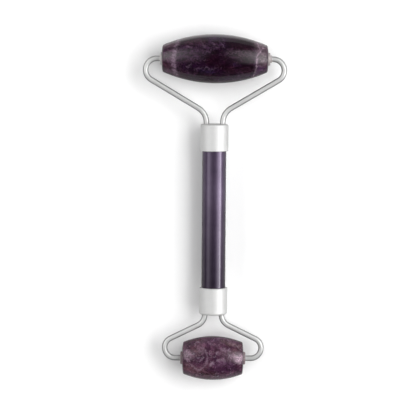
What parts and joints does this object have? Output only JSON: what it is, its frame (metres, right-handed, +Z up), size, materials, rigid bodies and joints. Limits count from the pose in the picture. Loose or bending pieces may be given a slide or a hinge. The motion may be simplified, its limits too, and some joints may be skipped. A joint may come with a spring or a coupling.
{
  "type": "facial massage roller",
  "caption": "Two-ended face roller: slim handle with a wire fork at each end, carrying a wide and a narrow barrel-shaped stone that turn freely on their axles.",
  "frame": {"origin": "on the handle's axis, at the middle of the handle", "axes": "+Y along the handle towards the large roller, +X along the roller axles, +Z up from the plane of the forks when the roller lies on a table"},
  "size_m": [0.06, 0.1451, 0.0204],
  "materials": {
    "lacquer_purple": "high gloss lacquer, very dark purple",
    "satin_aluminium": "fine satin, anodised",
    "satin_wire": "satin plated wire",
    "amethyst_dark": "polished, deep purple with pale bands and veins",
    "amethyst_mauve": "polished, mottled mauve with fine cracks",
    "bush_nylon": "milky natural nylon",
    "plug_brass": "turned",
    "plain_steel": "zinc plated"
  },
  "bodies": {
    "handle": {"handle_grip": "lacquer_purple", "tie_rod": "plain_steel", "large_ferrule": "satin_aluminium", "small_ferrule": "satin_aluminium", "large_anchor_plug": "plug_brass", "small_anchor_plug": "plug_brass", "large_fork_wire_left": "satin_wire", "large_fork_wire_right": "satin_wire", "small_fork_wire_left": "satin_wire", "small_fork_wire_right": "satin_wire"},
    "large_roller": {"large_roller_stone": "amethyst_dark", "large_bush_left": "bush_nylon", "large_bush_right": "bush_nylon"},
    "small_roller": {"small_roller_stone": "amethyst_mauve", "small_bush_left": "bush_nylon", "small_bush_right": "bush_nylon"}
  },
  "joints": [
    {"name": "large_roller_spin", "type": "hinge", "parent": "handle", "child": "large_roller", "pos_m": [0, 0.0671, 0], "axis": [1, 0, 0], "continuous": true},
    {"name": "small_roller_spin", "type": "hinge", "parent": "handle", "child": "small_roller", "pos_m": [0, -0.05865, 0], "axis": [1, 0, 0], "continuous": true}
  ]
}
